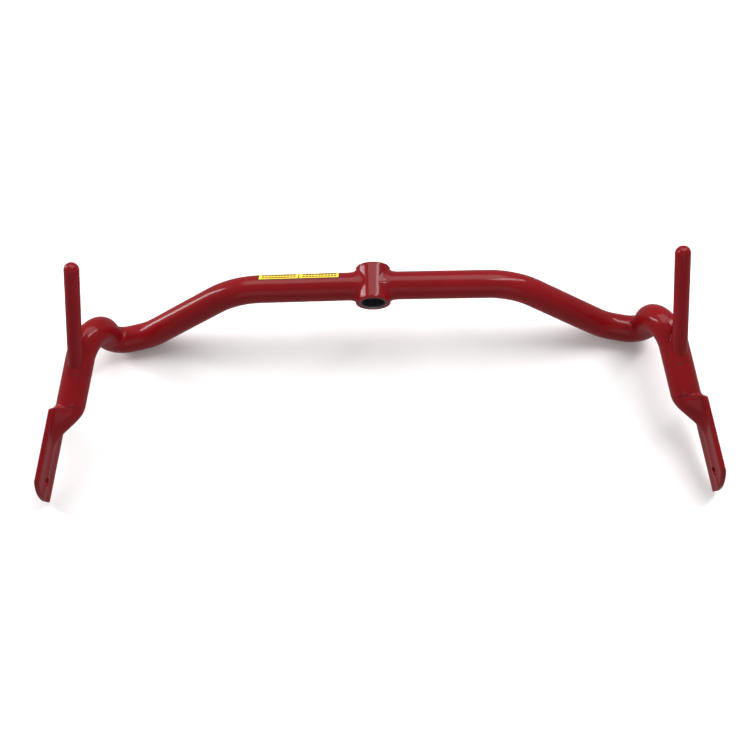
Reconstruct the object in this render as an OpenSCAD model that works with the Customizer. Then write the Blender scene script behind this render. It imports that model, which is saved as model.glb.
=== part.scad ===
// Sway bar: a bent tube bar with a pivot sleeve across its middle, arms that run forward and end in
// flattened, drilled blades, and a solid post leaning back from each arm. The two halves are
// mirror images but for the posts' tilt, so each is drawn on the right and mirrored for the left.
// Origin: the centre of the pivot bore. +X along the bar to its right, +Y to the rear along the
// bore, +Z up. All sizes are in millimetres.

/* [Bar tube] */
// Outside diameter of the bar tube
tube_od = 31.75; // [30:0.25:33]
// Wall thickness of the bar tube
tube_wall = 2.6; // [2:0.1:2.7]
// Centreline radius of the inner sway bend
sway_bend_r = 105; // [80:5:115]
// Centreline radius of the outer sway bend
level_bend_r = 60; // [45:5:65]
// Centreline radius of the bend up into each corner
rise_bend_r = 20; // [18:1:21]
// Centreline radius of the bend over the top of each corner
corner_bend_r = 24; // [20:1:25]
// Centreline radius of the slight bend between each corner and its arm
join_bend_r = 45; // [40:1:50]

/* [Blades] */
// Thickness of the flattened tube end
blade_t = 5.8; // [5.6:0.2:8]
// Length over which the round tube flattens
flatten_len = 44; // [36:1:50]
// Distance from the start of flattening to the end hole
hole_from_fold = 90; // [80:1:92]
// Diameter of the end hole
end_hole_d = 10.3; // [8:0.1:13]

/* [Pivot] */
// Outside diameter of the pivot sleeve
sleeve_od = 39.4; // [38:0.2:41]
// Length of the pivot sleeve
sleeve_len = 42.8; // [42:0.2:48]
// Inside diameter of the pivot sleeve
sleeve_id = 28.5; // [27.5:0.1:30]
// Inside diameter of the liners, which is the pivot bore
bore_d = 25.5; // [24:0.1:26.5]
// Gap between the two liners
liner_gap = 3; // [1:0.5:6]
// Depth of each liner's outer end inside the sleeve's face
liner_recess = 1; // [0.5:0.1:2]
// Chamfer at the sleeve's edges
sleeve_chamfer = 1; // [0.5:0.1:1.5]

/* [Posts] */
// Diameter of the posts
post_d = 15.9; // [12:0.1:17]
// Length of a post from the arm's centreline to its tip
post_len = 148; // [110:1:160]
// Angle between a post and the arm that it stands on
post_lean = 35; // [32:1:42]
// Distance from the start of flattening back to where the post's axis meets the arm's
post_from_fold = 30; // [22:1:32]
// Outward tilt of the left post about the arm's axis
left_post_tilt = -2.4; // [-5:0.1:5]
// Outward tilt of the right post about the arm's axis
right_post_tilt = 3.6; // [-5:0.1:5]

/* [Welds] */
// Length of a hub weld along the tube
hub_weld_leg = 11; // [7:0.5:12]
// Height of a hub weld up the sleeve's side
hub_weld_rise = 4.4; // [3:0.2:4.8]
// Leg of a post weld
post_weld_leg = 3.5; // [2.5:0.1:4.5]

/* [Label] */
// Length of the label along the tube
label_len = 92; // [60:1:100]
// Width of the label round the tube
label_w = 25.4; // [18:0.2:30]
// Thickness of the label
label_t = 0.25; // [0.2:0.05:0.4]
// Distance from the bore's axis to the label's near end
label_from_pivot = 37; // [30:1:44]
// Angle from straight up, towards the rear, to the label's front edge
label_edge_angle = 16; // [5:1:30]

/* [Hidden] */
$fn = 64;
r = tube_od / 2;
sleeve_r = sleeve_od / 2;
post_r = post_d / 2;
weld_edge = 0.3; // thickness of a weld at its edges
post_foot_r = post_r - 0.1; // radius of a post's foot, below the stretch that a mate slides on
post_mate_wall = 6; // thickest wall of a mate that clears the arm at the foot of a post's free length
post_free_from = (r + (post_r + post_mate_wall) * cos(post_lean)) / sin(post_lean);

// Corners of the right half's centreline, from the pivot to the start of flattening
pivot_pt = [0, 0, 0];
sway_pt = [158, -1, 0];
level_pt = [270, -30, -62.5];
rise_pt = [316, -38, -66];
top_pt = [314, -34, -2];
join_pt = [331.5, -69, -10.2];
fold_pt = [344, -126.5, -26];
route = [pivot_pt, sway_pt, level_pt, rise_pt, top_pt, join_pt, fold_pt];
radii = [0, sway_bend_r, level_bend_r, rise_bend_r, corner_bend_r, join_bend_r, 0];
last = len(route) - 1;

// Points round a section of the tube, and sections along its flattened stretch
ring_points = 40;
loft_steps = 12;
bend_step = 9.5; // most degrees of a bend between two sections
blade_h = PI * (tube_od - blade_t) / 2 + blade_t;
cavity_share = 0.88; // share of the loft that is still hollow

// Tip outline: the upper corner stops short and a long arc runs down to the lower corner
tip_low_s = 116;
tip_high_s = 86;
tip_arc_r = 60;

function unit(v) = v / norm(v);
function heading(i) = unit(route[i + 1] - route[i]);
function turn(i) = acos(heading(i - 1) * heading(i));
function trim(i) = i == 0 || i == last ? 0 : radii[i] * tan(turn(i) / 2);
function enter(i) = route[i] - heading(i - 1) * trim(i);
function leave(i) = i == 0 ? route[0] : route[i] + heading(i) * trim(i);
function smooth(x) = x * x * (3 - 2 * x);

// Matrix that moves the origin to o and turns X, Y and Z to x, y and z
function place(o, x, y, z) = [
    [x[0], y[0], z[0], o[0]],
    [x[1], y[1], z[1], o[1]],
    [x[2], y[2], z[2], o[2]],
    [0, 0, 0, 1]
];

// The arm's own frame at the start of flattening: X outward, Y up, Z forward along the arm
arm_z = heading(last - 1);
arm_x = unit([1, 0, 0] - arm_z * arm_z[0]);
arm_y = cross(arm_z, arm_x);
arm_frame = place(fold_pt, arm_x, arm_y, arm_z);

// The post's axes in the arm's frame: along the post, and across it in the arm's plane
post_axis = [0, sin(post_lean), -cos(post_lean)];
post_across = [0, cos(post_lean), sin(post_lean)];
post_foot = [0, 0, -post_from_fold];

// Children stood at a with +Z towards b
module stand(a, b) {
    v = unit(b - a);
    translate(a) rotate([0, acos(v[2]), atan2(v[1], v[0])]) children();
}

// v turned by angle a about the unit axis k
function spin(v, k, a) = v * cos(a) + cross(k, v) * sin(a) + k * (k * v) * (1 - cos(a));

// Side direction of straight i, carried back from the arm's outer side without twist
function bend_axis(i) = unit(cross(heading(i - 1), heading(i)));
function side(i) = i == last - 1 ? arm_x : spin(side(i + 1), bend_axis(i + 1), -turn(i + 1));

// Round section of radius q about o, from side x towards cross(forward, x)
function round_ring(o, x, forward, q) = let (y = cross(forward, x))
    [for (k = [0:ring_points - 1]) let (a = 360 * k / ring_points) o + q * (cos(a) * x + sin(a) * y)];

// Sections through bend i
function bend_rings(i, q) =
    let (x = side(i - 1), a = heading(i - 1), k = bend_axis(i), inward = cross(k, a),
         centre = enter(i) + inward * radii[i], steps = ceil(turn(i) / bend_step))
    [for (j = [0:steps]) let (angle = turn(i) * j / steps)
        round_ring(centre - spin(inward, k, angle) * radii[i], spin(x, k, angle), spin(a, k, angle), q)];

// Flat oval of thickness t with straight sides 2a long, at length u round it from its outer side
function oval_point(u, t, a) = let (c = PI * t / 2)
    u <= a ? [t / 2, u]
    : u <= a + c ? let (q = (u - a) / c * 180) [t / 2 * cos(q), a + t / 2 * sin(q)]
    : u <= 3 * a + c ? [-t / 2, 2 * a + c - u]
    : u <= 3 * a + 2 * c ? let (q = (u - 3 * a - c) / c * 180) [-t / 2 * cos(q), -a - t / 2 * sin(q)]
    : [t / 2, u - 4 * a - 2 * c];

// Thickness over the flattened stretch: the girth stays that of the round tube
function flat_t(s) = tube_od - (tube_od - blade_t) * smooth(min(1, s / flatten_len));
function oval_ring(s, wall) =
    let (t = flat_t(s) - 2 * wall, a = PI * (tube_od - flat_t(s)) / 4, girth = 4 * a + PI * t)
    [for (k = [0:ring_points - 1]) let (p = oval_point(girth * k / ring_points, t, a))
        fold_pt + arm_x * (p[0] + r - flat_t(s) / 2) + arm_y * p[1] + arm_z * s];

// Solid along the right half's centreline: round from start before the pivot, then the flattened
// stretch up to length flat along the arm, and on to length end. Its skin lies wall inside the tube's
module bar(start, flat, end, wall) {
    rings = concat(
        [round_ring(pivot_pt - heading(0) * start, side(0), heading(0), r - wall)],
        [for (i = [1:last - 1]) for (ring = bend_rings(i, r - wall)) ring],
        [for (j = [0:loft_steps]) oval_ring(flat * j / loft_steps, wall)],
        end > flat ? [oval_ring(end, wall)] : []);
    closed_loft(rings);
}

// Triangles of an oval's end that reach across it from point k of n to the point opposite
function rung(k, n) =
    let (a = (k + n) % n, b = (k + 1 + n) % n, c = (n + n / 2 - k) % n, d = (n + n / 2 - k - 1) % n)
    k == -n / 4 ? [[a, b, d]] : k == n / 4 - 1 ? [[a, b, c]] : [[a, b, c], [b, d, c]];

// Solid through a list of rings with the same number of points, closed at both ends
module closed_loft(rings) {
    n = len(rings[0]);
    points = [for (ring = rings) for (p = ring) p];
    sides = [for (j = [0:len(rings) - 2]) for (k = [0:n - 1]) for (h = [0, 1])
        let (a = j * n + k, b = j * n + (k + 1) % n)
        h == 0 ? [a, a + n, b] : [b, a + n, b + n]];
    far = (len(rings) - 1) * n;
    near_cap = [for (k = [-n / 4:n / 4 - 1]) for (f = rung(k, n)) f];
    far_cap = [for (f = near_cap) [f[2] + far, f[1] + far, f[0] + far]];
    polyhedron(points = points, faces = concat(sides, near_cap, far_cap), convexity = 6);
}

// Ring of sections round an axis, closed on itself
module closed_ring(sections) {
    n = len(sections[0]);
    m = len(sections);
    points = [for (section = sections) for (p = section) p];
    faces = [for (j = [0:m - 1]) for (k = [0:n - 1]) for (h = [0, 1])
        let (a = j * n + k, b = j * n + (k + 1) % n,
             c = ((j + 1) % m) * n + k, d = ((j + 1) % m) * n + (k + 1) % n)
        h == 0 ? [a, b, c] : [b, d, c]];
    polyhedron(points = points, faces = faces, convexity = 6);
}

// What is cut away past the blade's tip, in lengths along the arm and heights across it
module tip_waste() {
    low = [tip_low_s, -blade_h / 2];
    high = [tip_high_s, blade_h / 2];
    half = norm(high - low) / 2;
    back = unit([low[1] - high[1], high[0] - low[0]]);
    centre = (low + high) / 2 + back * sqrt(tip_arc_r * tip_arc_r - half * half);
    start = atan2(low[1] - centre[1], low[0] - centre[0]);
    sweep = atan2(high[1] - centre[1], high[0] - centre[0]) - start;
    polygon(concat(
        [for (k = [0:16]) centre + tip_arc_r * [cos(start + sweep * k / 16), sin(start + sweep * k / 16)]],
        [[high[0], blade_h], [tip_low_s + blade_h, blade_h], [tip_low_s + blade_h, -blade_h], [low[0], -blade_h]]));
}

// Cuts in the blade, in the arm's frame: past the tip, and the end hole
module blade_cuts() {
    translate([r - 2 * blade_t, 0, 0]) multmatrix(place([0, 0, 0], [0, 0, 1], [0, 1, 0], [-1, 0, 0]))
        translate([0, 0, -3 * blade_t]) linear_extrude(3 * blade_t) tip_waste();
    translate([0, 0, hole_from_fold]) rotate([0, 90, 0]) cylinder(h = 2 * r, r = end_hole_d / 2);
}

module sleeve_cylinder() {
    rotate([90, 0, 0]) cylinder(h = 3 * sleeve_len, r = sleeve_r, center = true);
}

// Right half of the bar: hollow, coped to the sleeve, flattened and drilled at its tip
module right_half() {
    difference() {
        bar(0, flatten_len, tip_low_s + blade_t, 0);
        bar(1, flatten_len * cavity_share, 0, tube_wall);
        multmatrix(arm_frame) blade_cuts();
        sleeve_cylinder();
    }
}

module left_bar_tube() {
    color("firebrick") mirror([1, 0, 0]) right_half();
}

module right_bar_tube() {
    color("firebrick") right_half();
}

module pivot_sleeve() {
    half = sleeve_len / 2;
    bore = sleeve_id / 2;
    c = sleeve_chamfer;
    color("firebrick") rotate([90, 0, 0]) rotate_extrude() polygon([
        [bore, half - c], [bore + c, half], [sleeve_r - c, half], [sleeve_r, half - c],
        [sleeve_r, c - half], [sleeve_r - c, -half], [bore + c, -half], [bore, c - half]
    ]);
}

// Distance from the bore's axis to the sleeve's surface, at angle q round the tube and radius p
function sleeve_x(p, q) = sqrt(sleeve_r * sleeve_r - pow(p * sin(q), 2));

// Section of the hub weld at angle q round the tube, its back on the tube and on the sleeve
function hub_weld_section(q) =
    let (rise = hub_weld_rise - 1.6 * pow(sin(q), 2), root_x = sleeve_x(r, q),
         toe_x = root_x + hub_weld_leg, top_x = sleeve_x(r + rise, q), slope = heading(0)[1])
    [for (p = [[toe_x, r], [toe_x, r + weld_edge], [root_x + 0.4 * hub_weld_leg, r + 0.28 * rise],
               [top_x + 0.14 * hub_weld_leg, r + 0.66 * rise], [top_x + weld_edge, r + rise],
               [top_x, r + rise], [sleeve_x(r + rise / 2, q), r + rise / 2], [root_x, r]])
        [p[0], p[1] * cos(q) + slope * p[0], p[1] * sin(q)]];

module right_hub_bead() {
    closed_ring([for (k = [0:47]) hub_weld_section(k * 7.5)]);
}

module left_hub_weld() {
    color("firebrick") mirror([1, 0, 0]) right_hub_bead();
}

module right_hub_weld() {
    color("firebrick") right_hub_bead();
}

// Thin liner in the sleeve, from its outer end to the gap in the middle
module liner() {
    length = (sleeve_len - liner_gap) / 2 - liner_recess;
    rotate([90, 0, 0]) translate([0, 0, liner_gap / 2]) difference() {
        cylinder(h = length, r = sleeve_id / 2);
        translate([0, 0, -1]) cylinder(h = length + 2, r = bore_d / 2);
    }
}

module front_bushing() {
    color("dimgray") liner();
}

module rear_bushing() {
    color("dimgray") mirror([0, 1, 0]) liner();
}

// Round bar with a domed tip, its foot cut to sit on the arm
module post_bar(tilt) {
    multmatrix(arm_frame) rotate([0, 0, -tilt]) difference() {
        translate(post_foot) multmatrix(place([0, 0, 0], [1, 0, 0], -post_across, post_axis)) {
            linear_extrude(post_free_from) polygon([for (k = [0:47]) post_foot_r * [cos(k * 7.5), sin(k * 7.5)]]);
            translate([0, 0, post_free_from]) cylinder(h = post_len - post_r - post_free_from, r = post_r);
            translate([0, 0, post_len - post_r]) sphere(post_r);
        }
        translate([0, 0, -120]) cylinder(h = 240, r = r);
    }
}

module left_post() {
    color("firebrick") mirror([1, 0, 0]) post_bar(left_post_tilt);
}

module right_post() {
    color("firebrick") post_bar(right_post_tilt);
}

// Height along the post at which its surface of radius p, at angle q, meets the arm's
function foot_height(p, q) =
    (sqrt(r * r - pow(p * cos(q), 2)) - p * sin(q) * cos(post_lean)) / sin(post_lean);

// Section of the post weld at angle q round the post, its back on the arm and on the post
function post_weld_section(q) =
    let (leg = post_weld_leg, root = foot_height(post_foot_r, q), toe = foot_height(post_r + leg, q))
    [for (p = [[post_foot_r, root], [post_r + leg / 2, foot_height(post_r + leg / 2, q)],
               [post_r + leg, toe], [post_r + leg, toe + weld_edge],
               [post_r + 0.45 * leg, (root + toe) / 2 + 0.45 * leg],
               [post_r + weld_edge, root + leg], [post_foot_r, root + leg]])
        post_foot + p[0] * cos(q) * [1, 0, 0] + p[0] * sin(q) * post_across + p[1] * post_axis];

module post_bead(tilt) {
    multmatrix(arm_frame) rotate([0, 0, -tilt]) closed_ring([for (k = [0:35]) post_weld_section(k * 10)]);
}

module left_post_weld() {
    color("firebrick") mirror([1, 0, 0]) post_bead(left_post_tilt);
}

module right_post_weld() {
    color("firebrick") post_bead(right_post_tilt);
}

// Film label wrapped over the left half's top, beside the sleeve
module label() {
    span = label_w / (PI * tube_od) * 360;
    color("gold") mirror([1, 0, 0]) stand(pivot_pt, sway_pt)
        rotate([0, 0, 180 - label_edge_angle - span]) translate([0, 0, label_from_pivot])
            rotate_extrude(angle = span) translate([r, 0]) square([label_t, label_len]);
}

left_bar_tube();
right_bar_tube();
pivot_sleeve();
left_hub_weld();
right_hub_weld();
front_bushing();
rear_bushing();
left_post();
right_post();
left_post_weld();
right_post_weld();
label();
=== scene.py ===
"""Looks of the sway bar: painted tube meshes, weld beads, sleeve, liners, posts and label.

Shapes are worked out in millimetres in the row frame, on the same centreline as the CAD model, and
become metres when their mesh is made. The right half is built and mirrored for the left.
"""
import math

import bpy
import bmesh
import numpy as np
from mathutils import Matrix, Vector


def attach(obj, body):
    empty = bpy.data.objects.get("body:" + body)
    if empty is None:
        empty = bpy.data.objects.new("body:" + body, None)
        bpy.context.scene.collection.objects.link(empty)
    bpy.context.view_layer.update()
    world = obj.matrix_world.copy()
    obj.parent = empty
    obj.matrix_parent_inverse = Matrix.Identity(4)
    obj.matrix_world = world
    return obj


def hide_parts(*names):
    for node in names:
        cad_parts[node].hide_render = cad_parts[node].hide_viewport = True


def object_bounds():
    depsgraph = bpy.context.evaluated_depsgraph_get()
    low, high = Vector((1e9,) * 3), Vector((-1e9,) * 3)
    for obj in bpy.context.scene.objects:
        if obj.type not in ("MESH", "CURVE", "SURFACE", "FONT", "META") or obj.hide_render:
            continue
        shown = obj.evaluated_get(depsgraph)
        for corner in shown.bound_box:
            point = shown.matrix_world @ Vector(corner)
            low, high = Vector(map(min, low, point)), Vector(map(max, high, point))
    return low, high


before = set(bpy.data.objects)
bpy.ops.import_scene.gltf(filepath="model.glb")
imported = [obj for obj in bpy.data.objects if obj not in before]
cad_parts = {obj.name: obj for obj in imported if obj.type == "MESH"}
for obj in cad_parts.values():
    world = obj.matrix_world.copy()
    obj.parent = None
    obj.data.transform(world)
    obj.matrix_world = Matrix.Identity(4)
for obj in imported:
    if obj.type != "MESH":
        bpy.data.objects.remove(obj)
cad_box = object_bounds()

MM = 0.001

# ---------------------------------------------------------------- driving dimensions, millimetres
TUBE_R = 15.875
BLADE_T = 5.8
FOLD_LEN = 52.0    # from the round tube to where the inner side is flat
FLANGE_LEN = 7.5   # from the round tube to where the edges are flat
HOLE_FROM_FOLD = 90.0
HOLE_R = 5.15
TIP_LOW = 116.0
TIP_HIGH = 86.0
TIP_ARC_R = 60.0
SLEEVE_R = 19.7
SLEEVE_HALF = 21.4
SLEEVE_BORE_R = 14.25
LINER_BORE_R = 12.75
LINER_GAP = 3.0
LINER_RECESS = 1.0
POST_R = 7.95
POST_LEN = 148.0
POST_LEAN = math.radians(35)
POST_FROM_FOLD = 30.0
LEFT_POST_TILT = math.radians(-2.4)
RIGHT_POST_TILT = math.radians(3.6)
LABEL_LEN = 92.0
LABEL_W = 25.4
LABEL_FROM_PIVOT = 37.0
LABEL_EDGE = math.radians(16)

FACE_HALF = 20.4                  # half the height of the blade's flat faces
CROWN_ANGLE = math.radians(62)    # of the creases across the fold, from straight inward
CROWN_SPREAD = math.radians(32)
CREASE_DEPTH = 1.3
TIP_EDGE = 0.9                    # rounding of the blade's end
SLEEVE_EDGE = 0.9                 # rounding of the sleeve's outer rims
MOUTH = 1.0                       # chamfer at the sleeve's bore
HUB_LEG = 11.0
HUB_RISE = 4.4
HUB_RISE_LOSS = 1.6               # less rise above and below, where the sleeve curves away
POST_LEG = 3.5
LABEL_SKIN = 0.25
LABEL_CORNER = 2.0

# Corners of the right half's centreline, from the pivot to the start of flattening, and bend radii
ROUTE = [np.array(p, float) for p in (
    (0, 0, 0), (158, -1, 0), (270, -30, -62.5), (316, -38, -66), (314, -34, -2),
    (331.5, -69, -10.2), (344, -126.5, -26))]
BEND_R = [0, 105, 60, 20, 24, 45, 0]

RING = 96          # points round a section of the tube; a multiple of 4
STRAIGHT_STEP = 8  # most millimetres between sections of a straight
BEND_STEP = math.radians(3.5)


# ---------------------------------------------------------------- small geometry helpers
def unit(v):
    return v / np.linalg.norm(v)


def spin(v, axis, angle):
    """v turned by angle about the unit axis."""
    return (v * math.cos(angle) + np.cross(axis, v) * math.sin(angle)
            + axis * (axis @ v) * (1 - math.cos(angle)))


def smooth(x):
    x = np.clip(x, 0, 1)
    return x * x * (3 - 2 * x)


LAST = len(ROUTE) - 1
HEADING = [unit(ROUTE[i + 1] - ROUTE[i]) for i in range(LAST)]
ARM_Z = HEADING[-1]
ARM_X = unit(np.array((1.0, 0, 0)) - ARM_Z * ARM_Z[0])
ARM_Y = np.cross(ARM_Z, ARM_X)
FOLD = ROUTE[-1]


def turn(i):
    return math.acos(HEADING[i - 1] @ HEADING[i])


def trim(i):
    return BEND_R[i] * math.tan(turn(i) / 2) if 0 < i < LAST else 0.0


def stations():
    """Frames (origin, side, up, forward) along the round part of the right half, pivot first."""
    sides = [None] * LAST
    sides[-1] = ARM_X
    for i in range(LAST - 2, -1, -1):
        axis = unit(np.cross(HEADING[i], HEADING[i + 1]))
        sides[i] = spin(sides[i + 1], axis, -turn(i + 1))
    out = []
    for i in range(LAST):
        start = ROUTE[i] + HEADING[i] * trim(i)
        end = ROUTE[i + 1] - HEADING[i] * trim(i + 1)
        count = max(1, math.ceil(np.linalg.norm(end - start) / STRAIGHT_STEP))
        for k in range(count):
            out.append((start + (end - start) * k / count, sides[i], HEADING[i]))
        if i + 1 < LAST:
            axis = unit(np.cross(HEADING[i], HEADING[i + 1]))
            inward = np.cross(axis, HEADING[i])
            centre = end + inward * BEND_R[i + 1]
            count = math.ceil(turn(i + 1) / BEND_STEP)
            for k in range(count):
                a = turn(i + 1) * k / count
                out.append((centre - spin(inward, axis, a) * BEND_R[i + 1],
                            spin(sides[i], axis, a), spin(HEADING[i], axis, a)))
    return out


def round_ring(origin, side, forward, radius):
    up = np.cross(forward, side)
    a = np.arange(RING) * 2 * math.pi / RING
    return origin + radius * (np.cos(a)[:, None] * side + np.sin(a)[:, None] * up)


# ---------------------------------------------------------------- flattened end
def flat_section(inset=0.0):
    """Points (x outward, y up) round the blade's section: a flat oval flush with the outer side."""
    t = BLADE_T
    a = math.pi * (2 * TUBE_R - t) / 4
    cap = math.pi * t / 2
    girth = 4 * a + 2 * cap
    u = girth * np.arange(RING) / RING
    x = np.empty(RING)
    y = np.empty(RING)
    half = t / 2
    for k, length in enumerate(u):
        if length <= a:
            x[k], y[k] = half, length
        elif length <= a + cap:
            q = (length - a) / cap * math.pi
            x[k], y[k] = half * math.cos(q), a + half * math.sin(q)
        elif length <= 3 * a + cap:
            x[k], y[k] = -half, 2 * a + cap - length
        elif length <= 3 * a + 2 * cap:
            q = (length - 3 * a - cap) / cap * math.pi
            x[k], y[k] = -half * math.cos(q), -a - half * math.sin(q)
        else:
            x[k], y[k] = half, length - 4 * a - 2 * cap
    # seam that flattening leaves along the middle of the pressed face, and a slight dish beside it
    pressed = (x < 0)
    x = x - pressed * (0.45 * np.exp(-(y / 1.6) ** 2) - 0.35 * np.exp(-((np.abs(y) - 9) / 5) ** 2))
    scale_x = 1 - inset / half
    scale_y = 1 - inset / (a + half)
    return x * scale_x + TUBE_R - half, y * scale_y


def tip_length(y):
    """Length at which the blade ends, at height y: a long convex arc between its two corners."""
    top = math.pi * (2 * TUBE_R - BLADE_T) / 4 + BLADE_T / 2
    low = np.array((TIP_LOW, -top))
    high = np.array((TIP_HIGH, top))
    half = np.linalg.norm(high - low) / 2
    back = unit(np.array((low[1] - high[1], high[0] - low[0])))
    centre = (low + high) / 2 + back * math.sqrt(TIP_ARC_R ** 2 - half ** 2)
    return centre[0] + np.sqrt(np.maximum(TIP_ARC_R ** 2 - (y - centre[1]) ** 2, 0))


def arm_points(x, y, s):
    return FOLD + x[:, None] * ARM_X + y[:, None] * ARM_Y + np.asarray(s).reshape(-1, 1) * ARM_Z


def fold_section(s):
    """Section between the round tube and the blade.

    The flanges form first, while the middle of the inner side lags behind as a fading bulge, and a
    crease crosses the top and the bottom just past the round tube.
    """
    a = np.arange(RING) * 2 * math.pi / RING
    round_x, round_y = TUBE_R * np.cos(a), TUBE_R * np.sin(a)
    flat_x, flat_y = flat_section()
    inner_side = flat_x < TUBE_R - BLADE_T + 0.9
    middle = np.cos(np.clip(flat_y / FACE_HALF, -1, 1) * math.pi / 2) ** 0.9 * inner_side
    share = smooth(s / (FLANGE_LEN + (FOLD_LEN - FLANGE_LEN) * middle))
    crown = np.exp(-((np.abs(a - math.pi) - CROWN_ANGLE) / CROWN_SPREAD) ** 2)
    press = CREASE_DEPTH * crown * smooth(s / 1.5) * (1 - smooth((s - 2) / 10))
    x = round_x + (flat_x - round_x) * share - press * np.cos(a)
    y = round_y + (flat_y - round_y) * share - press * np.sin(a)
    return x, y


def bar_rings():
    rings = [round_ring(o, side, forward, TUBE_R) for o, side, forward in stations()]
    # the end of the tube is coped: it stops inside the sleeve's wall
    cope_r = (SLEEVE_R + SLEEVE_BORE_R) / 2
    first = rings[0]
    first[:, 0] = np.sqrt(cope_r ** 2 - first[:, 2] ** 2)
    first[:, 1] += first[:, 0] * HEADING[0][1]
    rings = [first] + [ring for ring in rings[1:] if ring[:, 0].min() > cope_r + 2]
    near = list(np.arange(0, 10, 0.4))
    far = list(np.arange(10, FOLD_LEN, 1.5))
    for s in near + far:
        rings.append(arm_points(*fold_section(s), np.full(RING, s)))
    x, y = flat_section()
    for share in np.linspace(0, 1, 22)[:-1]:
        rings.append(arm_points(x, y, FOLD_LEN + (tip_length(y) - 1.0 - FOLD_LEN) * share))
    for q in np.linspace(0, math.pi / 2, 6):
        xi, yi = flat_section(inset=TIP_EDGE * (1 - math.cos(q)))
        rings.append(arm_points(xi, yi, tip_length(y) - TIP_EDGE * (1 - math.sin(q)) - 0.1))
    return rings


# ---------------------------------------------------------------- meshes
def make_object(name, points, faces, mirrored=False):
    """Mesh object from points in millimetres, mirrored to the left if asked."""
    points = np.array(points, float) * MM
    if mirrored:
        points[:, 0] *= -1
        faces = [tuple(reversed(f)) for f in faces]
    mesh = bpy.data.meshes.new(name)
    mesh.from_pydata([tuple(p) for p in points], [], [tuple(f) for f in faces])
    mesh.validate()
    obj = bpy.data.objects.new(name, mesh)
    bpy.context.scene.collection.objects.link(obj)
    bm = bmesh.new()
    bm.from_mesh(mesh)
    bmesh.ops.recalc_face_normals(bm, faces=bm.faces)
    bm.to_mesh(mesh)
    bm.free()
    return obj


def shade(obj, sharp_deg=35):
    for polygon in obj.data.polygons:
        polygon.use_smooth = True
    obj.data.set_sharp_from_angle(angle=math.radians(sharp_deg))


def loft_faces(count, rings):
    """Quads between consecutive rings of count points."""
    faces = []
    for j in range(rings - 1):
        for k in range(count):
            a = j * count + k
            b = j * count + (k + 1) % count
            faces.append((a, b, b + count, a + count))
    return faces


def ring_faces(count, sections):
    """Quads of a section of count points swept round a closed path."""
    total = count * sections
    faces = []
    for j in range(sections):
        for k in range(count):
            a = j * count + k
            b = j * count + (k + 1) % count
            faces.append((a, b, (b + count) % total, (a + count) % total))
    return faces


def across_faces(count, base):
    """Quads that close an oval ring by joining each point to the one straight across."""
    faces = []
    for k in range(-count // 4, count // 4):
        a = (k + count) % count
        b = (k + 1 + count) % count
        c = (count + count // 2 - k) % count
        d = (count + count // 2 - k - 1) % count
        face = [base + a, base + b, base + d, base + c]
        faces.append(tuple(dict.fromkeys(face)))
    return faces


def apply_modifiers(obj):
    graph = bpy.context.evaluated_depsgraph_get()
    mesh = bpy.data.meshes.new_from_object(obj.evaluated_get(graph))
    obj.modifiers.clear()
    obj.data = mesh


def cut_hole(obj, centre, axis, radius, length, mirrored):
    """Drills obj with a round hole."""
    count = 64
    side = unit(np.cross(axis, (0.0, 0.0, 1.0)))
    up = np.cross(axis, side)
    a = np.arange(count) * 2 * math.pi / count
    rim = radius * (np.cos(a)[:, None] * side + np.sin(a)[:, None] * up)
    points = np.vstack([centre + rim - axis * length / 2, centre + rim + axis * length / 2])
    faces = loft_faces(count, 2) + [tuple(range(count)), tuple(range(count, 2 * count))]
    cutter = make_object("cutter", points, faces, mirrored)
    cut = obj.modifiers.new("hole", "BOOLEAN")
    cut.operation = "DIFFERENCE"
    cut.object = cutter
    cut.solver = "EXACT"
    apply_modifiers(obj)
    bpy.data.objects.remove(cutter)


# ---------------------------------------------------------------- pieces
def bar_half(mirrored):
    rings = bar_rings()
    points = np.vstack(rings)
    faces = loft_faces(RING, len(rings))
    tip = (len(rings) - 1) * RING
    faces += across_faces(RING, tip)
    hub_centre = len(points)
    points = np.vstack([points, [[(SLEEVE_R + SLEEVE_BORE_R) / 2, 0, 0]]])
    faces += [((k + 1) % RING, k, hub_centre) for k in range(RING)]
    name = "left_bar" if mirrored else "right_bar"
    obj = make_object(name, points, faces, mirrored)
    centre = FOLD + ARM_X * (TUBE_R - BLADE_T / 2) + ARM_Z * HOLE_FROM_FOLD
    cut_hole(obj, centre, ARM_X, HOLE_R, 3 * BLADE_T, mirrored)
    shade(obj)
    return obj


def lathe(name, profile, steps=128):
    """Closed ring from a profile of (radius, height) points turned round Y."""
    points = []
    for j in range(steps):
        a = 2 * math.pi * j / steps
        for radius, height in profile:
            points.append((radius * math.cos(a), height, radius * math.sin(a)))
    return make_object(name, points, ring_faces(len(profile), steps))


def arc(cx, cy, radius, start, end, count=6):
    """Points of an arc in a profile, angles in degrees."""
    a = np.radians(np.linspace(start, end, count))
    return [(cx + radius * math.cos(q), cy + radius * math.sin(q)) for q in a]


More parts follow.
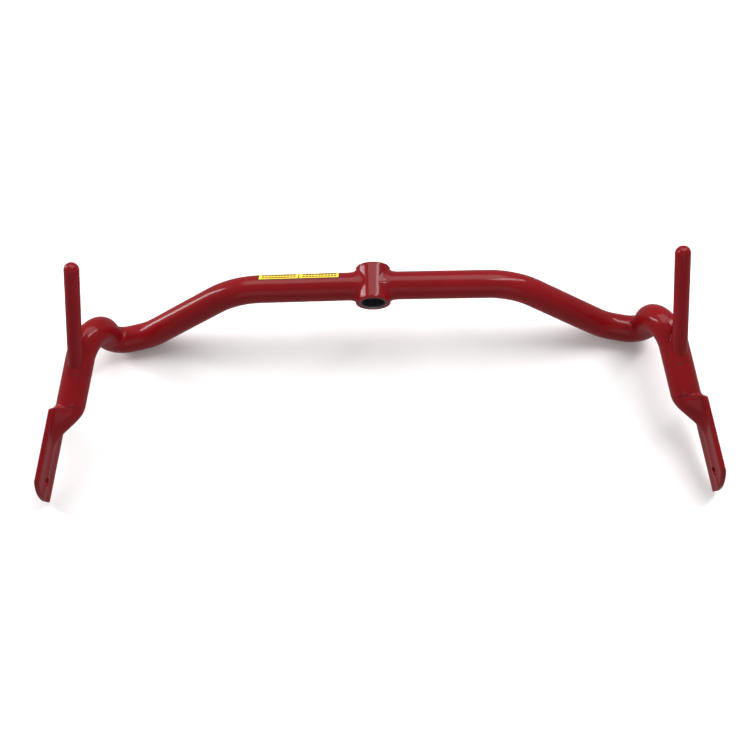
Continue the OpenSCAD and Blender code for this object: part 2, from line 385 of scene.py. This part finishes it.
def sleeve():
    top = SLEEVE_HALF
    profile = arc(SLEEVE_R - SLEEVE_EDGE, top - SLEEVE_EDGE, SLEEVE_EDGE, 0, 90)
    profile += [(SLEEVE_BORE_R + MOUTH + 0.25, top)]
    profile += arc(SLEEVE_BORE_R + MOUTH, top - 0.25, 0.25, 90, 135, 3)
    profile += [(SLEEVE_BORE_R + 0.15, top - MOUTH), (SLEEVE_BORE_R, top - MOUTH - 0.3)]
    lower = [(radius, -height) for radius, height in reversed(profile)]
    middle = [(SLEEVE_BORE_R, h) for h in np.linspace(top - 4, 4 - top, 8)]
    outer = [(SLEEVE_R, h) for h in np.linspace(4 - top, top - 4, 12)]
    obj = lathe("sleeve", profile + middle + lower + outer)
    shade(obj, 30)
    bore_r = (SLEEVE_BORE_R + MOUTH + 0.05) * MM
    for polygon in obj.data.polygons:
        c = polygon.center
        if math.hypot(c.x, c.z) < bore_r:
            polygon.material_index = 1
    return obj


def liner(name, sign):
    inner = LINER_BORE_R
    outer = SLEEVE_BORE_R
    start = LINER_GAP / 2
    end = SLEEVE_HALF - LINER_RECESS
    edge = 0.35
    profile = [(outer, h) for h in np.linspace(start, end - edge, 6)]
    profile += arc(outer - edge, end - edge, edge, 0, 90, 4)
    profile += arc(inner + edge, end - edge, edge, 90, 180, 4)
    profile += [(inner, h) for h in np.linspace(end - 2, start, 6)]
    obj = lathe(name, [(radius, sign * h) for radius, h in profile], 112)
    shade(obj, 40)
    return obj


def sleeve_x(p, q):
    return math.sqrt(SLEEVE_R ** 2 - (p * math.sin(q)) ** 2)


def hub_weld(mirrored):
    """Smooth concave fillet from the tube up the sleeve, with faint ripples under the paint."""
    rng = np.random.default_rng(3)
    steps = 180
    rows = 14
    phase = rng.uniform(0, 2 * math.pi, 6)
    points = []
    for j in range(steps):
        q = 2 * math.pi * j / steps
        rise = HUB_RISE - HUB_RISE_LOSS * math.sin(q) ** 2
        leg = HUB_LEG + 0.35 * math.sin(3 * q + phase[0]) + 0.25 * math.sin(7 * q + phase[1])
        for k in range(rows):
            v = k / (rows - 1)
            p = TUBE_R + rise * v ** 2.1 - (0.25 if k == 0 else 0)
            x = sleeve_x(p, q) + leg * (1 - v) ** 2.1 - (0.3 if k == rows - 1 else 0)
            wave = math.sin(46 * q + 1.5 * math.sin(3 * q + phase[2]) + 3 * v)
            ripple = 0.07 * math.sin(math.pi * v) * wave
            p += ripple
            x += ripple
            points.append((x, p * math.cos(q) + x * HEADING[0][1], p * math.sin(q)))
        p = TUBE_R - 1.0
        x = sleeve_x(p, q) - 1.0
        points.append((x, p * math.cos(q) + x * HEADING[0][1], p * math.sin(q)))
    name = "left_hub_bead" if mirrored else "right_hub_bead"
    obj = make_object(name, points, ring_faces(rows + 1, steps), mirrored)
    shade(obj, 60)
    return obj


POST_FOOT = FOLD - ARM_Z * POST_FROM_FOLD


def foot_height(p, q):
    """Height along the post's axis at which its surface of radius p, at angle q, meets the arm's."""
    reach = math.sqrt(TUBE_R ** 2 - (p * math.cos(q)) ** 2)
    return (reach - p * math.sin(q) * math.cos(POST_LEAN)) / math.sin(POST_LEAN)


def post_point(p, q, h, mirrored):
    """Point at angle q, radius p and height h of a post, tilted outward about the arm's axis."""
    tilt = LEFT_POST_TILT if mirrored else RIGHT_POST_TILT
    x = p * math.cos(q)
    y = p * math.sin(q) * math.cos(POST_LEAN) + h * math.sin(POST_LEAN)
    z = p * math.sin(q) * math.sin(POST_LEAN) - h * math.cos(POST_LEAN)
    return (POST_FOOT + (x * math.cos(tilt) + y * math.sin(tilt)) * ARM_X
            + (y * math.cos(tilt) - x * math.sin(tilt)) * ARM_Y + z * ARM_Z)


def post(mirrored):
    steps = 72
    shaft_top = POST_LEN - POST_R
    rows = []
    for share in np.linspace(0, 1, 16):
        rows.append((POST_R, share))
    dome = [(POST_R * math.cos(a), shaft_top + POST_R * math.sin(a))
            for a in np.linspace(0, math.pi / 2, 14)[1:-1]]
    points = []
    for radius, share in rows:
        for k in range(steps):
            q = 2 * math.pi * k / steps
            foot = foot_height(POST_R, q) - 2.5
            points.append(post_point(radius, q, foot + (shaft_top - foot) * share, mirrored))
    for radius, height in dome:
        for k in range(steps):
            points.append(post_point(radius, 2 * math.pi * k / steps, height, mirrored))
    faces = loft_faces(steps, len(rows) + len(dome))
    tip = len(points)
    points.append(post_point(0, 0, POST_LEN, mirrored))
    root = len(points)
    points.append(post_point(0, 0, TUBE_R / math.sin(POST_LEAN) - 3.5, mirrored))
    last_ring = (len(rows) + len(dome) - 1) * steps
    faces += [(last_ring + k, last_ring + (k + 1) % steps, tip) for k in range(steps)]
    faces += [((k + 1) % steps, k, root) for k in range(steps)]
    name = "left_post_bar" if mirrored else "right_post_bar"
    obj = make_object(name, points, faces, mirrored)
    shade(obj, 60)
    return obj


def post_weld(mirrored):
    """Rounded bead round the post's foot, its ripples like overlapping coins."""
    rng = np.random.default_rng(11)
    steps = 240
    rows = 12
    phase = rng.uniform(0, 2 * math.pi, 4)
    points = []
    for j in range(steps):
        q = 2 * math.pi * j / steps
        coin = (q * 26 / (2 * math.pi) + 0.12 * math.sin(2 * q + phase[0])) % 1.0
        ripple = 0.7 * (math.sin(math.pi * coin) ** 0.7) - 0.25
        leg = POST_LEG + 0.3 * math.sin(2 * q + phase[1]) + 0.2 * math.sin(5 * q + phase[2])
        root = foot_height(POST_R, q)
        toe = foot_height(POST_R + leg, q)
        a = np.array((POST_R - 0.3, root + leg * 0.95))
        b = np.array((POST_R + leg, toe - 0.5))
        corner = np.array((POST_R + 0.15, root + 0.3))
        for k in range(rows):
            v = k / (rows - 1)
            chord = a * (1 - v) + b * v
            out = unit((a + b) / 2 - corner)
            bulge = (1.1 + ripple) * math.sin(math.pi * v)
            p, h = chord + out * bulge
            points.append(post_point(p, q, h, mirrored))
        points.append(post_point(POST_R - 1.0, q, root - 1.5, mirrored))
    name = "left_post_bead" if mirrored else "right_post_bead"
    obj = make_object(name, points, ring_faces(rows + 1, steps), mirrored)
    shade(obj, 70)
    return obj


def label():
    """Thin film wrapped over the left half, with rounded corners and a map of its own length and width."""
    corner = LABEL_CORNER
    rows = 28
    columns = 60
    sweep = LABEL_W / TUBE_R
    axis = HEADING[0]
    side = unit(np.cross((0.0, 0.0, 1.0), axis))
    points = []
    flat = []
    for layer in (TUBE_R + LABEL_SKIN, TUBE_R - 0.15):
        for j in range(rows + 1):
            v = LABEL_W * j / rows
            d = min(v, LABEL_W - v)
            inset = corner - math.sqrt(max(corner ** 2 - (corner - d) ** 2, 0)) if d < corner else 0.0
            a = LABEL_EDGE + sweep * j / rows
            for k in range(columns + 1):
                u = inset + (LABEL_LEN - 2 * inset) * k / columns
                centre = axis * (LABEL_FROM_PIVOT + u)
                points.append(centre + layer * (math.cos(a) * np.array((0, 0, 1.0)) + math.sin(a) * side))
                flat.append((u / LABEL_LEN, v / LABEL_W))
    width = columns + 1
    layer_size = width * (rows + 1)
    faces = []
    for base, flip in ((0, False), (layer_size, True)):
        for j in range(rows):
            for k in range(columns):
                a = base + j * width + k
                face = (a, a + 1, a + 1 + width, a + width)
                faces.append(tuple(reversed(face)) if flip else face)
    rim = ([k for k in range(width)]
           + [j * width + columns for j in range(1, rows + 1)]
           + [rows * width + k for k in range(columns - 1, -1, -1)]
           + [j * width for j in range(rows - 1, 0, -1)])
    for a, b in zip(rim, rim[1:] + rim[:1]):
        faces.append((a, a + layer_size, b + layer_size, b))
    obj = make_object("label_film", points, faces, mirrored=True)
    layer = obj.data.uv_layers.new(name="film")
    for loop in obj.data.loops:
        layer.data[loop.index].uv = flat[loop.vertex_index]
    shade(obj, 50)
    return obj


# ---------------------------------------------------------------- materials
def new_material(name):
    material = bpy.data.materials.new(name)
    material.use_nodes = True
    nodes = material.node_tree.nodes
    return material, nodes, material.node_tree.links, nodes["Principled BSDF"]


def noise(nodes, links, scale, detail=3.0, rough=0.5, stretch=(1, 1, 1)):
    coord = nodes.new("ShaderNodeTexCoord")
    mapping = nodes.new("ShaderNodeMapping")
    mapping.inputs["Scale"].default_value = stretch
    texture = nodes.new("ShaderNodeTexNoise")
    texture.inputs["Scale"].default_value = scale
    texture.inputs["Detail"].default_value = detail
    texture.inputs["Roughness"].default_value = rough
    links.new(coord.outputs["Object"], mapping.inputs["Vector"])
    links.new(mapping.outputs["Vector"], texture.inputs["Vector"])
    return texture.outputs["Fac"]


def ramp(nodes, links, value, stops):
    node = nodes.new("ShaderNodeValToRGB")
    elements = node.color_ramp.elements
    elements[0].position, elements[0].color = stops[0][0], stops[0][1]
    elements[1].position, elements[1].color = stops[-1][0], stops[-1][1]
    for position, colour in stops[1:-1]:
        elements.new(position).color = colour
    links.new(value, node.inputs["Fac"])
    return node.outputs["Color"]


def grey(x):
    return (x, x, x, 1)


def mix_colour(nodes, links, factor, a, b):
    node = nodes.new("ShaderNodeMix")
    node.data_type = "RGBA"
    for socket, value in (("Factor", factor), ("A", a), ("B", b)):
        target = [i for i in node.inputs if i.name == socket and (socket == "Factor" or i.type == "RGBA")][0]
        if isinstance(value, (tuple, float)):
            target.default_value = value
        else:
            links.new(value, target)
    return [o for o in node.outputs if o.type == "RGBA"][0]


def math_node(nodes, links, operation, a, b=None):
    node = nodes.new("ShaderNodeMath")
    node.operation = operation
    for socket, value in zip(node.inputs, (a, b)):
        if value is None:
            continue
        if isinstance(value, (int, float)):
            socket.default_value = value
        else:
            links.new(value, socket)
    return node.outputs[0]


def bump(nodes, links, height, strength, distance, normal=None):
    node = nodes.new("ShaderNodeBump")
    node.inputs["Strength"].default_value = strength
    node.inputs["Distance"].default_value = distance
    links.new(height, node.inputs["Height"])
    if normal is not None:
        links.new(normal, node.inputs["Normal"])
    return node.outputs["Normal"]


def red_paint():
    """Glossy deep red powder coat: slight colour drift, orange peel, dust specks, and a painted highlight of
    lighter red in patches on sharp convex edges.
    """
    material, nodes, links, shader = new_material("red_paint")
    drift = noise(nodes, links, 9, 4)
    body = ramp(nodes, links, drift, [(0.3, (0.150, 0.0022, 0.0045, 1)), (0.7, (0.195, 0.0032, 0.0062, 1))])
    fleck = noise(nodes, links, 900, 2)
    fleck_mask = ramp(nodes, links, fleck, [(0.74, grey(0)), (0.80, grey(1))])
    dusty = mix_colour(nodes, links, math_node(nodes, links, "MULTIPLY", fleck_mask, 0.05),
                       body, (0.55, 0.30, 0.28, 1))
    geometry = nodes.new("ShaderNodeNewGeometry")
    # painted highlight: where Pointiness marks a sharp convex edge, the paint is mixed up to a quarter of
    # the way toward a lighter red (0.34, 0.035, 0.035), in patches from a noise
    edge = ramp(nodes, links, geometry.outputs["Pointiness"], [(0.53, grey(0)), (0.60, grey(1))])
    rub_and_highlight_noise = ramp(nodes, links, noise(nodes, links, 140, 5, 0.65), [(0.50, grey(0)), (0.62, grey(1))])
    edge_highlight = math_node(nodes, links, "MULTIPLY", math_node(nodes, links, "MULTIPLY", edge, rub_and_highlight_noise), 0.25)
    links.new(mix_colour(nodes, links, edge_highlight, dusty, (0.34, 0.035, 0.035, 1)), shader.inputs["Base Color"])
    haze = noise(nodes, links, 38, 5, 0.6)
    rough = ramp(nodes, links, haze, [(0.3, grey(0.36)), (0.72, grey(0.48))])
    links.new(rough, shader.inputs["Roughness"])
    shader.inputs["IOR"].default_value = 1.5
    shader.inputs["Specular IOR Level"].default_value = 0.04
    shader.inputs["Coat Weight"].default_value = 0.30
    shader.inputs["Coat Roughness"].default_value = 0.12
    shader.inputs["Coat IOR"].default_value = 1.5
    peel = noise(nodes, links, 330, 2, 0.5)
    fine = noise(nodes, links, 1400, 2, 0.5)
    normal = bump(nodes, links, peel, 0.10, 0.0006)
    normal = bump(nodes, links, fine, 0.05, 0.0002, normal)
    links.new(normal, shader.inputs["Normal"])
    links.new(bump(nodes, links, peel, 0.06, 0.0005), shader.inputs["Coat Normal"])
    return material


def bare_steel():
    """Bare turned steel of the sleeve's bore and its chamfers."""
    material, nodes, links, shader = new_material("bare_steel")
    stain = noise(nodes, links, 160, 5, 0.6)
    links.new(ramp(nodes, links, stain, [(0.3, (0.10, 0.10, 0.10, 1)), (0.7, (0.20, 0.20, 0.20, 1))]),
              shader.inputs["Base Color"])
    shader.inputs["Metallic"].default_value = 1.0
    turned = noise(nodes, links, 1200, 2, 0.5, stretch=(0.05, 1, 0.05))
    links.new(ramp(nodes, links, turned, [(0.3, grey(0.28)), (0.7, grey(0.48))]), shader.inputs["Roughness"])
    links.new(bump(nodes, links, turned, 0.2, 0.0002), shader.inputs["Normal"])
    return material


def black_liner():
    """Matte black moulded liner with rub marks."""
    material, nodes, links, shader = new_material("black_liner")
    rub_and_highlight_noise = noise(nodes, links, 220, 4, 0.6, stretch=(1, 0.2, 1))
    links.new(ramp(nodes, links, rub_and_highlight_noise, [(0.35, (0.010, 0.011, 0.012, 1)), (0.75, (0.030, 0.031, 0.033, 1))]),
              shader.inputs["Base Color"])
    links.new(ramp(nodes, links, rub_and_highlight_noise, [(0.3, grey(0.38)), (0.7, grey(0.6))]), shader.inputs["Roughness"])
    links.new(bump(nodes, links, noise(nodes, links, 1800, 2), 0.12, 0.0002), shader.inputs["Normal"])
    return material


def box_mask(nodes, links, u, v, low_u, high_u, low_v, high_v):
    """1 inside a rectangle of the film's own length and width, 0 outside."""
    parts = [math_node(nodes, links, "GREATER_THAN", u, low_u),
             math_node(nodes, links, "LESS_THAN", u, high_u),
             math_node(nodes, links, "GREATER_THAN", v, low_v),
             math_node(nodes, links, "LESS_THAN", v, high_v)]
    out = parts[0]
    for part in parts[1:]:
        out = math_node(nodes, links, "MULTIPLY", out, part)
    return out


def yellow_film():
    """Glossy yellow film: thin black border, a divider, and rows of plain dashes that spell nothing."""
    material, nodes, links, shader = new_material("yellow_film")
    film = nodes.new("ShaderNodeUVMap")
    film.uv_map = "film"
    parts = nodes.new("ShaderNodeSeparateXYZ")
    links.new(film.outputs["UV"], parts.inputs["Vector"])
    u, v = parts.outputs["X"], parts.outputs["Y"]
    yellow = ramp(nodes, links, noise(nodes, links, 60, 4),
                  [(0.3, (0.78, 0.52, 0.025, 1)), (0.7, (0.88, 0.62, 0.05, 1))])
    inside = box_mask(nodes, links, u, v, 0.012, 0.988, 0.045, 0.955)
    dark = math_node(nodes, links, "SUBTRACT", 1.0, inside)
    bars = []
    for low, high in ((0.10, 0.17), (0.24, 0.42), (0.50, 0.58), (0.66, 0.74), (0.82, 0.88)):
        bars += [(0.04, 0.46, low, high), (0.54, 0.95, low, high)]
    gaps = math_node(nodes, links, "FRACT", math_node(nodes, links, "MULTIPLY", u, 26.0))
    dashes = math_node(nodes, links, "LESS_THAN", gaps, 0.78)
    for bar in bars:
        block = math_node(nodes, links, "MULTIPLY", dashes, box_mask(nodes, links, u, v, *bar))
        dark = math_node(nodes, links, "MAXIMUM", dark, block)
    divider = box_mask(nodes, links, u, v, 0.494, 0.506, 0.04, 0.96)
    dark = math_node(nodes, links, "MAXIMUM", dark, divider)
    scuff = ramp(nodes, links, noise(nodes, links, 700, 4, 0.7), [(0.30, grey(0.7)), (0.42, grey(1))])
    ink = math_node(nodes, links, "MULTIPLY", dark, scuff)
    links.new(mix_colour(nodes, links, ink, yellow, (0.012, 0.012, 0.010, 1)), shader.inputs["Base Color"])
    links.new(ramp(nodes, links, noise(nodes, links, 90, 3), [(0.3, grey(0.22)), (0.7, grey(0.36))]),
              shader.inputs["Roughness"])
    links.new(bump(nodes, links, noise(nodes, links, 260, 2), 0.08, 0.0003), shader.inputs["Normal"])
    return material


def pale_floor():
    material, nodes, links, shader = new_material("pale_floor")
    links.new(ramp(nodes, links, noise(nodes, links, 3, 3), [(0.3, grey(0.93)), (0.7, grey(0.95))]),
              shader.inputs["Base Color"])
    shader.inputs["Roughness"].default_value = 0.85
    return material


# ---------------------------------------------------------------- assembly
PAINT = red_paint()
STEEL = bare_steel()
LINER = black_liner()
FILM = yellow_film()


def dress(obj, slot, nodes, *materials):
    for material in materials:
        obj.data.materials.append(material)
    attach(obj, "root")
    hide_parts(*nodes)


for mirrored, hand in ((True, "left"), (False, "right")):
    dress(bar_half(mirrored), "red_paint", [hand + "_bar_tube"], PAINT)
    dress(hub_weld(mirrored), "red_paint", [hand + "_hub_weld"], PAINT)
    dress(post(mirrored), "red_paint", [hand + "_post"], PAINT)
    dress(post_weld(mirrored), "red_paint", [hand + "_post_weld"], PAINT)
dress(sleeve(), "red_paint", ["pivot_sleeve"], PAINT, STEEL)
dress(liner("front_liner", -1), "black_liner", ["front_bushing"], LINER)
dress(liner("rear_liner", 1), "black_liner", ["rear_bushing"], LINER)
dress(label(), "yellow_film", ["label"], FILM)

# ---------------------------------------------------------------- floor, camera, light
floor_z = cad_box[0][2]


def make_floor():
    size = 6.0
    steps = 24
    points = [(size * (i / steps - 0.5), size * (j / steps - 0.5), floor_z)
              for j in range(steps + 1) for i in range(steps + 1)]
    row = steps + 1
    faces = [(j * row + i, j * row + i + 1, (j + 1) * row + i + 1, (j + 1) * row + i)
             for j in range(steps) for i in range(steps)]
    mesh = bpy.data.meshes.new("floor")
    mesh.from_pydata(points, [], faces)
    obj = bpy.data.objects.new("floor", mesh)
    bpy.context.scene.collection.objects.link(obj)
    obj.data.materials.append(pale_floor())
    obj.visible_glossy = False  # the paint mirrors the room, not the floor


make_floor()

CAMERA_ELEVATION = math.radians(72.69)
CAMERA_YAW = math.radians(-5.573)
CAMERA_ROLL = math.radians(6.493)
CAMERA_LENS = 40.97
CAMERA_BACK = Vector((2.2, -101.0, 967.43)) * MM  # from the bore's centre, in the camera's own axes

tilt = Matrix(((1, 0, 0),
               (0, math.sin(CAMERA_ELEVATION), math.cos(CAMERA_ELEVATION)),
               (0, -math.cos(CAMERA_ELEVATION), math.sin(CAMERA_ELEVATION))))
to_camera = Matrix.Rotation(CAMERA_ROLL, 3, "Z") @ tilt @ Matrix.Rotation(CAMERA_YAW, 3, "Z")
turned = to_camera.transposed()
camera_data = bpy.data.cameras.new("camera")
camera_data.lens = CAMERA_LENS
camera_data.sensor_width = 36.0
camera_data.clip_start = 0.01
camera = bpy.data.objects.new("camera", camera_data)
camera.matrix_world = Matrix.Translation(turned @ CAMERA_BACK) @ turned.to_4x4()
bpy.context.scene.collection.objects.link(camera)
bpy.context.scene.camera = camera


def panel(name, direction, distance, size, power, colour=(1, 1, 1)):
    """Rectangular lamp that faces the bar's middle from a direction in the row frame."""
    data = bpy.data.lights.new(name, "AREA")
    data.shape = "RECTANGLE"
    data.size, data.size_y = size
    data.energy = power
    data.color = colour
    lamp = bpy.data.objects.new(name, data)
    out = Vector(direction).normalized()
    lamp.location = out * distance
    lamp.rotation_euler = out.to_track_quat("Z", "Y").to_euler()
    bpy.context.scene.collection.objects.link(lamp)


panel("left_strip", (-0.89, 0.39, 0.30), 2.2, (0.35, 1.6), 34, (1.0, 0.93, 0.93))
panel("right_strip", (0.483, 0.394, 0.782), 2.2, (0.30, 1.8), 26, (1.0, 0.93, 0.93))
panel("top_soft", (0.0, 1.0, 1.3), 2.6, (2.6, 1.8), 52)
panel("front_soft", (0.0, -1.4, 0.9), 2.6, (2.4, 1.6), 8)

world = bpy.data.worlds.new("studio")
world.use_nodes = True
world.node_tree.nodes["Background"].inputs["Color"].default_value = (1, 1, 1, 1)
world.node_tree.nodes["Background"].inputs["Strength"].default_value = 0.42
bpy.context.scene.world = world
bpy.context.scene.view_settings.view_transform = "Standard"
